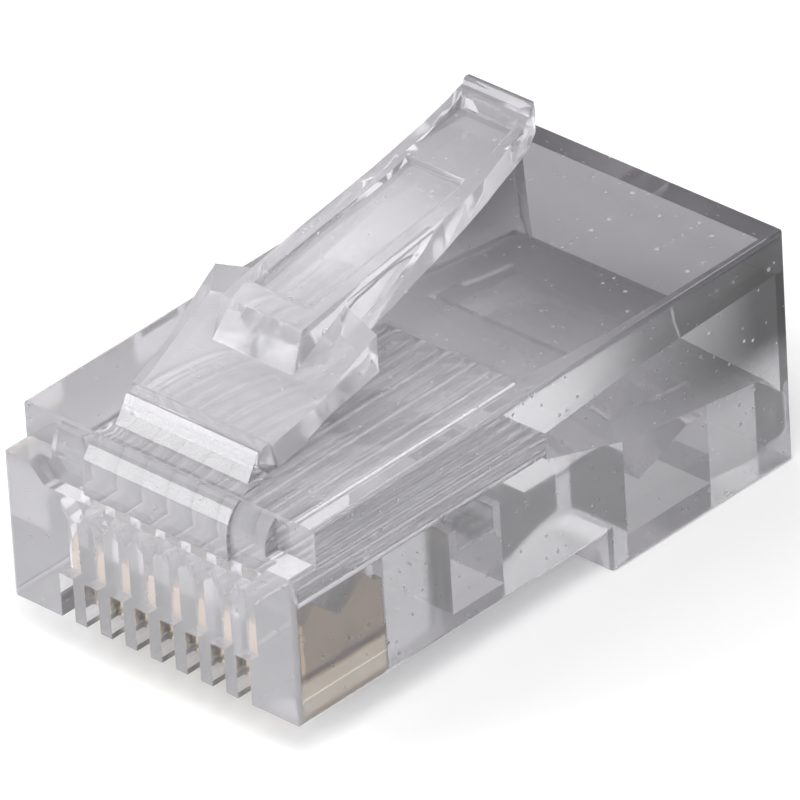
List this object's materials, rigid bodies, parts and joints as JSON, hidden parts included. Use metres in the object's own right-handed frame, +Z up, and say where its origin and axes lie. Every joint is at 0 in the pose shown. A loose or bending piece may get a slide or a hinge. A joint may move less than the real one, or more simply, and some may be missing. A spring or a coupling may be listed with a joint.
{
  "type": "modular plug",
  "caption": "Clear modular plug for round data cable, with a flexing latch tab, a row of gold-plated blade contacts at the nose and a stepped body open at the rear.",
  "frame": {"origin": "under the middle of the box round the plug, at the level of the rear underside", "axes": "+Y from the nose towards the cable mouth, +Z up to the latch tab, +X across the width"},
  "size_m": [0.0116, 0.0214, 0.0135],
  "materials": {
    "clear_plastic": "clear, as moulded",
    "gold_plate": "gold-plated phosphor bronze, bright"
  },
  "bodies": {
    "shell": {"housing": "clear_plastic"},
    "latch": {"latch_tab": "clear_plastic"},
    "blade_1": {"contact_1": "gold_plate"},
    "blade_2": {"contact_2": "gold_plate"},
    "blade_3": {"contact_3": "gold_plate"},
    "blade_4": {"contact_4": "gold_plate"},
    "blade_5": {"contact_5": "gold_plate"},
    "blade_6": {"contact_6": "gold_plate"},
    "blade_7": {"contact_7": "gold_plate"},
    "blade_8": {"contact_8": "gold_plate"}
  },
  "joints": [
    {"name": "latch_flex", "type": "hinge", "parent": "shell", "child": "latch", "pos_m": [0, -0.00818, 0.00822], "axis": [1, 0, 0], "range_deg": [-14, 0], "stiffness_Nm_per_rad": 0.15},
    {"name": "blade_1_press", "type": "slide", "parent": "shell", "child": "blade_1", "axis": [0, 0, 1], "range_m": [0, 0.00073]},
    {"name": "blade_2_press", "type": "slide", "parent": "shell", "child": "blade_2", "axis": [0, 0, 1], "range_m": [0, 0.00073]},
    {"name": "blade_3_press", "type": "slide", "parent": "shell", "child": "blade_3", "axis": [0, 0, 1], "range_m": [0, 0.00073]},
    {"name": "blade_4_press", "type": "slide", "parent": "shell", "child": "blade_4", "axis": [0, 0, 1], "range_m": [0, 0.00073]},
    {"name": "blade_5_press", "type": "slide", "parent": "shell", "child": "blade_5", "axis": [0, 0, 1], "range_m": [0, 0.00073]},
    {"name": "blade_6_press", "type": "slide", "parent": "shell", "child": "blade_6", "axis": [0, 0, 1], "range_m": [0, 0.00073]},
    {"name": "blade_7_press", "type": "slide", "parent": "shell", "child": "blade_7", "axis": [0, 0, 1], "range_m": [0, 0.00073]},
    {"name": "blade_8_press", "type": "slide", "parent": "shell", "child": "blade_8", "axis": [0, 0, 1], "range_m": [0, 0.00073]}
  ],
  "couplings": [
    {"joint": "blade_2_press", "follows": "blade_1_press", "ratio": 1},
    {"joint": "blade_3_press", "follows": "blade_1_press", "ratio": 1},
    {"joint": "blade_4_press", "follows": "blade_1_press", "ratio": 1},
    {"joint": "blade_5_press", "follows": "blade_1_press", "ratio": 1},
    {"joint": "blade_6_press", "follows": "blade_1_press", "ratio": 1},
    {"joint": "blade_7_press", "follows": "blade_1_press", "ratio": 1},
    {"joint": "blade_8_press", "follows": "blade_1_press", "ratio": 1}
  ]
}
